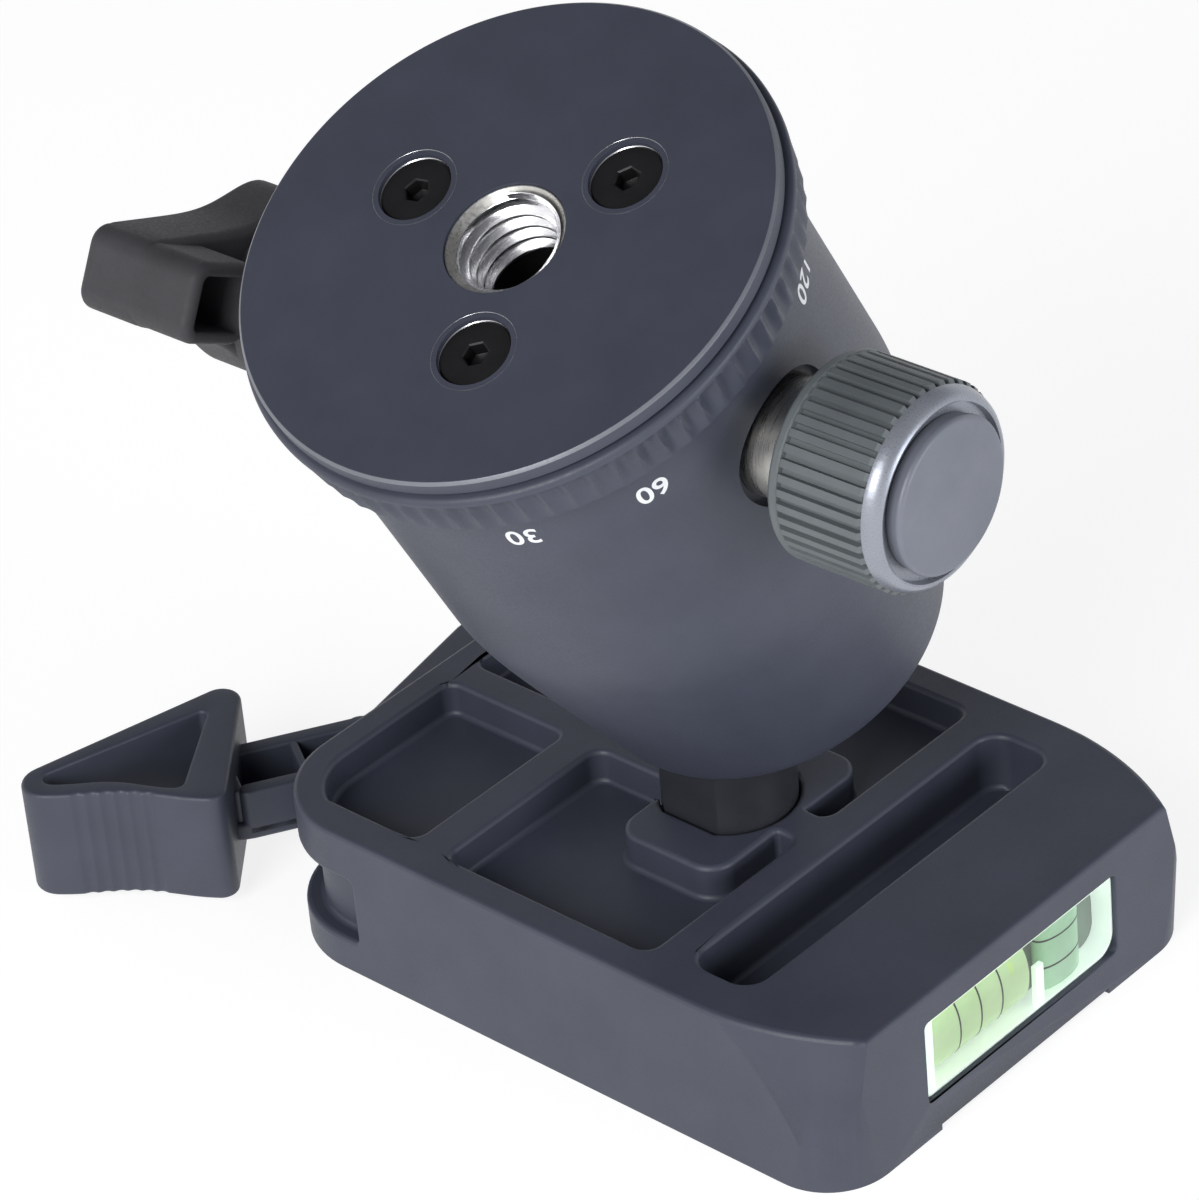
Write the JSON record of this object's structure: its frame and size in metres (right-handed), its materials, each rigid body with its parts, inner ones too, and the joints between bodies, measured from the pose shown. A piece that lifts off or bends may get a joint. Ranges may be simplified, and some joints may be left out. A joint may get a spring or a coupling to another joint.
{
  "type": "tripod ball head",
  "caption": "Tripod ball head with a turning base, locking wing knob, small friction knob and a quick-release clamp with a lever and a bubble level, stored upside down on its clamp.",
  "frame": {"origin": "on the stem's axis, in the plane inside the clamp that a camera plate seats against", "axes": "+X along the clamp to the end that holds the level, +Z from the plate seat through the deck to the ball; the head leans towards -Y"},
  "size_m": [0.0977, 0.0687, 0.0957],
  "materials": {
    "satin_body": "satin anodised, dark blue-grey",
    "black_rubber": "fine matt",
    "bright_steel": "turned",
    "black_steel": "black oxide",
    "ball_metal": "polished, hard anodised",
    "brass": "turned",
    "nylon": "matt",
    "clear_acrylic": "polished",
    "vial_liquid": "clear green",
    "number_paint": "white print"
  },
  "bodies": {
    "clamp": {"platform": "satin_body", "level_block": "clear_acrylic", "long_vial": "vial_liquid", "cross_vial": "vial_liquid", "fixed_jaw": "satin_body", "jaw_screws": "black_steel", "stem": "black_steel", "stem_screw": "black_steel", "lever_pin": "bright_steel", "lever_spring": "bright_steel", "trigger_spring": "bright_steel"},
    "trigger": {"trigger_pin": "brass"},
    "lever": {"lever": "satin_body"},
    "ball": {"ball": "ball_metal"},
    "seats": {"seat_ring": "nylon", "pressure_cup": "nylon"},
    "housing": {"housing": "satin_body", "bearing_ring": "bright_steel", "upper_glide_washer": "nylon", "wedge_block": "bright_steel", "disc_springs": "bright_steel", "spring_cap": "brass", "lock_bush": "bright_steel", "friction_bush": "bright_steel"},
    "lock_knob": {"lock_knob": "black_rubber", "knob_core": "brass", "lock_stud": "bright_steel"},
    "friction_knob": {"friction_knob": "satin_body", "friction_cap": "satin_body", "friction_screw": "bright_steel"},
    "base": {"base_plate": "satin_body", "fluted_ring": "satin_body", "lower_glide_washer": "nylon", "pan_spindle": "bright_steel", "base_screws": "black_steel"}
  },
  "joints": [
    {"name": "stem_swivel", "type": "hinge", "parent": "clamp", "child": "ball", "pos_m": [0, 0, 0.0355], "axis": [0, 0, 1], "continuous": true},
    {"name": "ball_tilt", "type": "hinge", "parent": "ball", "child": "seats", "pos_m": [0, 0, 0.0355], "axis": [0.9999, -0.0122, 0], "range_deg": [-55.7, 0.7]},
    {"name": "head_spin", "type": "hinge", "parent": "seats", "child": "housing", "pos_m": [0, 0, 0.0355], "axis": [-0.0056, -0.4617, 0.887], "continuous": true},
    {"name": "base_pan", "type": "hinge", "parent": "housing", "child": "base", "pos_m": [0, 0, 0.0355], "axis": [-0.0056, -0.4617, 0.887], "continuous": true},
    {"name": "lock_knob_turn", "type": "hinge", "parent": "housing", "child": "lock_knob", "pos_m": [-0.0301, -0.00952, 0.05245], "axis": [0.9998, 0.0156, 0.0145], "range_deg": [-270, 20]},
    {"name": "friction_knob_turn", "type": "hinge", "parent": "housing", "child": "friction_knob", "pos_m": [0.02984, -0.01223, 0.06033], "axis": [0.9998, 0.0156, 0.0145], "range_deg": [-180, 90]},
    {"name": "lever_swing", "type": "hinge", "parent": "clamp", "child": "lever", "pos_m": [-0.03, 0.015, 0], "axis": [0, 0, 1], "range_deg": [-60, 0], "stiffness_Nm_per_rad": 0.02, "springref_deg": 28.65},
    {"name": "trigger_press", "type": "slide", "parent": "clamp", "child": "trigger", "axis": [0, 0, 1], "range_m": [0, 0.0015], "stiffness_N_per_m": 200, "springref_m": -0.002, "deforming": ["trigger_spring"]}
  ]
}
